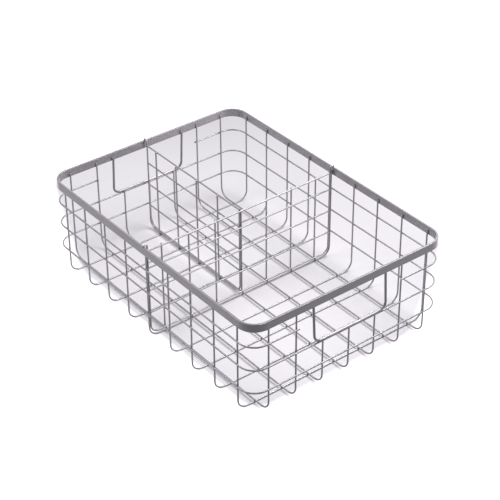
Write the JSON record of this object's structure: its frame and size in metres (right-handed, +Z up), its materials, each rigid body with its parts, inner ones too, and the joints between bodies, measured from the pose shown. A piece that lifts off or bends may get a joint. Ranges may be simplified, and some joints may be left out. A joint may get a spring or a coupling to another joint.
{
  "type": "wire locker basket",
  "caption": "Rectangular welded wire basket with a flat rim band, handle openings in the short ends and lift-out wire dividers.",
  "frame": {"origin": "on the surface the basket stands on, under the middle of the basket", "axes": "+X along the length towards the front short end, +Y across the width, +Z up"},
  "size_m": [0.4578, 0.328, 0.1522],
  "materials": {
    "wire_coat": "satin grey powder coat",
    "rim_coat": "satin grey powder coat",
    "handle_coat": "satin grey powder coat",
    "divider_coat": "satin grey powder coat"
  },
  "bodies": {
    "basket": {"rim_band": "rim_coat", "side_hoop_1": "wire_coat", "side_hoop_2": "wire_coat", "side_hoop_3": "wire_coat", "side_hoop_4": "wire_coat", "side_hoop_5": "wire_coat", "side_hoop_6": "wire_coat", "side_hoop_7": "wire_coat", "side_hoop_8": "wire_coat", "side_hoop_9": "wire_coat", "end_hoop_1": "wire_coat", "end_hoop_2": "wire_coat", "end_hoop_3": "wire_coat", "end_hoop_4": "wire_coat", "end_hoop_5": "wire_coat", "end_hoop_6": "wire_coat", "end_hoop_7": "wire_coat", "ring_lower": "wire_coat", "ring_middle": "wire_coat", "ring_upper_left": "wire_coat", "ring_upper_right": "wire_coat", "handle_front": "handle_coat", "handle_back": "handle_coat"},
    "cross_divider": {"cross_frame": "divider_coat", "cross_top_wire": "divider_coat", "cross_row_1": "divider_coat", "cross_row_2": "divider_coat", "cross_row_3": "divider_coat", "cross_upright_1": "divider_coat", "cross_upright_2": "divider_coat", "cross_upright_3": "divider_coat", "cross_upright_4": "divider_coat", "cross_upright_5": "divider_coat", "cross_upright_6": "divider_coat", "cross_upright_7": "divider_coat"},
    "long_divider": {"long_frame": "divider_coat", "long_top_wire": "divider_coat", "long_row_1": "divider_coat", "long_row_2": "divider_coat", "long_row_3": "divider_coat", "long_upright_1": "divider_coat", "long_upright_2": "divider_coat", "long_upright_3": "divider_coat", "long_upright_4": "divider_coat"}
  },
  "joints": [
    {"name": "cross_divider_lift", "type": "slide", "parent": "basket", "child": "cross_divider", "axis": [0, 0, 1], "range_m": [0, 0.16]},
    {"name": "long_divider_lift", "type": "slide", "parent": "basket", "child": "long_divider", "axis": [0, 0, 1], "range_m": [0, 0.16]}
  ]
}
